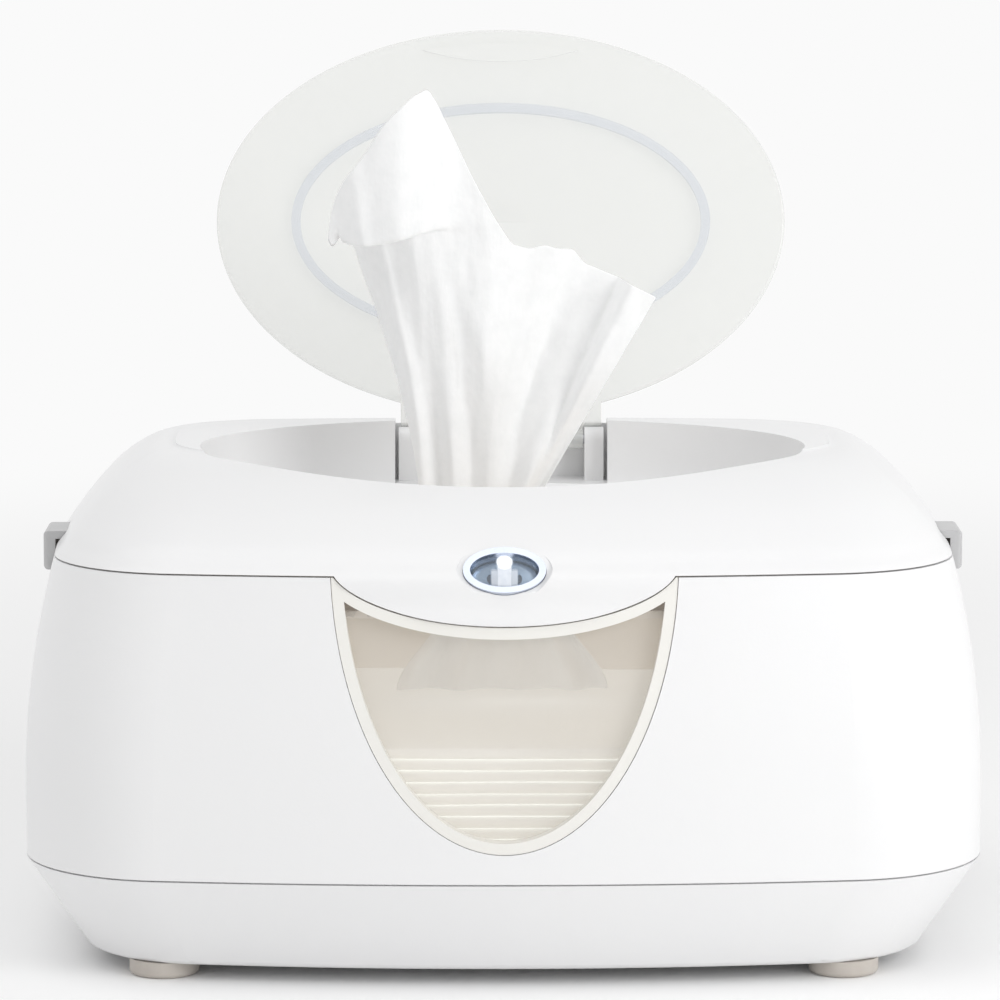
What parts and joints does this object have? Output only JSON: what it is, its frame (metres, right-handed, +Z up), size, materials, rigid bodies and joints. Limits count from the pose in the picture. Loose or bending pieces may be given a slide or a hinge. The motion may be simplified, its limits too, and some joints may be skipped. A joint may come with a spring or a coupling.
{
  "type": "baby wipe warmer",
  "caption": "Rounded tabletop wipe warmer: hinged crowned cover with a clear flip lid over a dispensing slot, see-through front window and a lit push button.",
  "frame": {"origin": "centre of the bounding box on the floor plane, under the middle of the body", "axes": "+X to the right seen from the front, +Y to the back, +Z up"},
  "size_m": [0.236, 0.18, 0.2211],
  "materials": {
    "white_shell": "satin moulded ABS",
    "tub_white": "smooth moulded polypropylene",
    "cream_trim": "satin moulded ABS, cream",
    "clear_window": "clear moulded acrylic",
    "clear_lid": "frosted clear polypropylene",
    "clear_lens": "clear acrylic",
    "bezel_chrome": "satin chrome plating",
    "silicone": "soft translucent silicone",
    "foot_rubber": "soft rubber",
    "steel": "plain steel",
    "spring_steel": "spring wire",
    "aluminium": "rolled sheet",
    "element_foil": "polyimide film over etched foil",
    "circuit_board": "solder mask",
    "black_plastic": "moulded black plastic",
    "latch_grey": "satin moulded plastic",
    "wire_insulation": "PVC insulation",
    "wipe": "damp spunlace wipe"
  },
  "bodies": {
    "body": {"base_pan": "white_shell", "outer_shell": "white_shell", "inner_tub": "tub_white", "window_frame": "cream_trim", "window_pane": "clear_window", "window_gasket": "silicone", "rim_gasket": "silicone", "wipe_stack": "wipe", "foot_front_left": "foot_rubber", "foot_front_right": "foot_rubber", "foot_rear_left": "foot_rubber", "foot_rear_right": "foot_rubber", "base_screws": "steel", "hinge_pin_left": "steel", "hinge_pin_right": "steel"},
    "cover": {"top_cover": "white_shell", "dispensing_throat": "tub_white", "lid_liner": "tub_white", "liner_screws": "steel", "heater_plate": "aluminium", "heater_element": "element_foil", "thermostat": "steel", "thermal_fuse": "element_foil", "control_board": "circuit_board", "light_board": "circuit_board", "lamp": "clear_lens", "press_switches": "black_plastic", "light_bezel": "bezel_chrome", "button_spring": "spring_steel", "latch_spring_left": "spring_steel", "latch_spring_right": "spring_steel", "power_inlet": "black_plastic", "supply_wire": "wire_insulation", "light_wire": "wire_insulation", "heater_wire": "wire_insulation", "dispensed_wipe": "wipe"},
    "flip_lid": {"flip_lid": "clear_lid", "flip_lid_seal": "silicone", "flip_pin": "steel"},
    "light_button": {"light_button": "clear_lens"},
    "latch_left": {"side_latch_left": "latch_grey"},
    "latch_right": {"side_latch_right": "latch_grey"}
  },
  "joints": [
    {"name": "cover_hinge", "type": "hinge", "parent": "body", "child": "cover", "pos_m": [0, 0.086, 0.099], "axis": [-1, 0, 0], "range_deg": [0, 95]},
    {"name": "flip_lid_hinge", "type": "hinge", "parent": "cover", "child": "flip_lid", "pos_m": [0, 0.063, 0.1146], "axis": [1, 0, 0], "range_deg": [0, 102.8], "deforming": ["dispensed_wipe"]},
    {"name": "light_button_press", "type": "slide", "parent": "cover", "child": "light_button", "axis": [0, 0.7373, -0.6756], "range_m": [0, 0.001], "stiffness_N_per_m": 400, "deforming": ["button_spring"]},
    {"name": "latch_left_press", "type": "slide", "parent": "cover", "child": "latch_left", "axis": [1, 0, 0], "range_m": [0, 0.002], "stiffness_N_per_m": 500, "deforming": ["latch_spring_left"]},
    {"name": "latch_right_press", "type": "slide", "parent": "cover", "child": "latch_right", "axis": [-1, 0, 0], "range_m": [0, 0.002], "stiffness_N_per_m": 500, "deforming": ["latch_spring_right"]}
  ]
}
